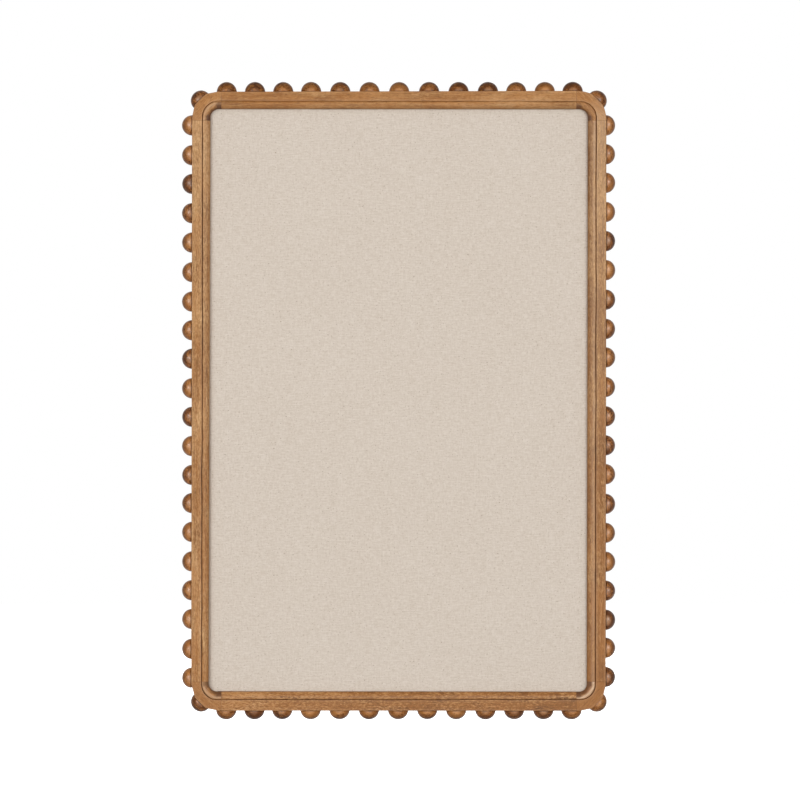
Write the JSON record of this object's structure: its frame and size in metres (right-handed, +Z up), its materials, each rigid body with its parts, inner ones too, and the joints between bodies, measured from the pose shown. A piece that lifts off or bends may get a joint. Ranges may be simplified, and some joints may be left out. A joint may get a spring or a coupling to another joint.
{
  "type": "fabric pinboard",
  "caption": "Wall-hung fabric pinboard: a linen-covered soft board in a moulded wood frame edged all round with half-ball beads, hung on swinging D-rings.",
  "frame": {"origin": "on the wall, midway between the two points where the wall hooks bear on the hanger rings", "axes": "+X to the viewer's right, +Y back into the wall, +Z up; the linen faces -Y"},
  "size_m": [0.6204, 0.0348, 0.9145],
  "materials": {
    "stained_wood": "satin medium-brown stain with the grain showing",
    "bead_wood": "satin orange-brown stain, darker than the rails",
    "plain_wood": "unfinished beech",
    "linen": "natural plain weave",
    "fibre_board": "soft pressed fibre, matte",
    "hardboard": "smooth brown hardboard",
    "zinc_steel": "bright zinc plate",
    "black_rubber": "matte black"
  },
  "bodies": {
    "board": {"rail_left": "stained_wood", "rail_top": "stained_wood", "rail_right": "stained_wood", "rail_bottom": "stained_wood", "corner_top_left": "stained_wood", "corner_top_right": "stained_wood", "corner_bottom_right": "stained_wood", "corner_bottom_left": "stained_wood", "bead_row_left": "bead_wood", "bead_row_top": "bead_wood", "bead_row_right": "bead_wood", "bead_row_bottom": "bead_wood", "bead_top_left": "bead_wood", "bead_top_right": "bead_wood", "bead_bottom_right": "bead_wood", "bead_bottom_left": "bead_wood", "dowel_left_start_front": "plain_wood", "dowel_left_end_front": "plain_wood", "dowel_left_start_back": "plain_wood", "dowel_left_end_back": "plain_wood", "dowel_top_start_front": "plain_wood", "dowel_top_end_front": "plain_wood", "dowel_top_start_back": "plain_wood", "dowel_top_end_back": "plain_wood", "dowel_right_start_front": "plain_wood", "dowel_right_end_front": "plain_wood", "dowel_right_start_back": "plain_wood", "dowel_right_end_back": "plain_wood", "dowel_bottom_start_front": "plain_wood", "dowel_bottom_end_front": "plain_wood", "dowel_bottom_start_back": "plain_wood", "dowel_bottom_end_back": "plain_wood", "linen_cover": "linen", "fibre_board": "fibre_board", "back_panel": "hardboard", "back_screw_left_1": "zinc_steel", "back_screw_left_2": "zinc_steel", "back_screw_left_3": "zinc_steel", "back_screw_right_1": "zinc_steel", "back_screw_right_2": "zinc_steel", "back_screw_right_3": "zinc_steel", "back_screw_top_1": "zinc_steel", "back_screw_top_2": "zinc_steel", "back_screw_bottom_1": "zinc_steel", "back_screw_bottom_2": "zinc_steel", "hanger_strap_left": "zinc_steel", "hanger_strap_right": "zinc_steel", "hanger_screw_left": "zinc_steel", "hanger_screw_right": "zinc_steel", "bumper_left": "black_rubber", "bumper_right": "black_rubber"},
    "left_ring": {"hanger_ring_left": "zinc_steel"},
    "right_ring": {"hanger_ring_right": "zinc_steel"}
  },
  "joints": [
    {"name": "left_ring_swing", "type": "hinge", "parent": "board", "child": "left_ring", "pos_m": [-0.28865, -0.00245, -0.0094], "axis": [-1, 0, 0], "range_deg": [-5, 175]},
    {"name": "right_ring_swing", "type": "hinge", "parent": "board", "child": "right_ring", "pos_m": [0.28865, -0.00245, -0.0094], "axis": [-1, 0, 0], "range_deg": [-5, 175]}
  ]
}
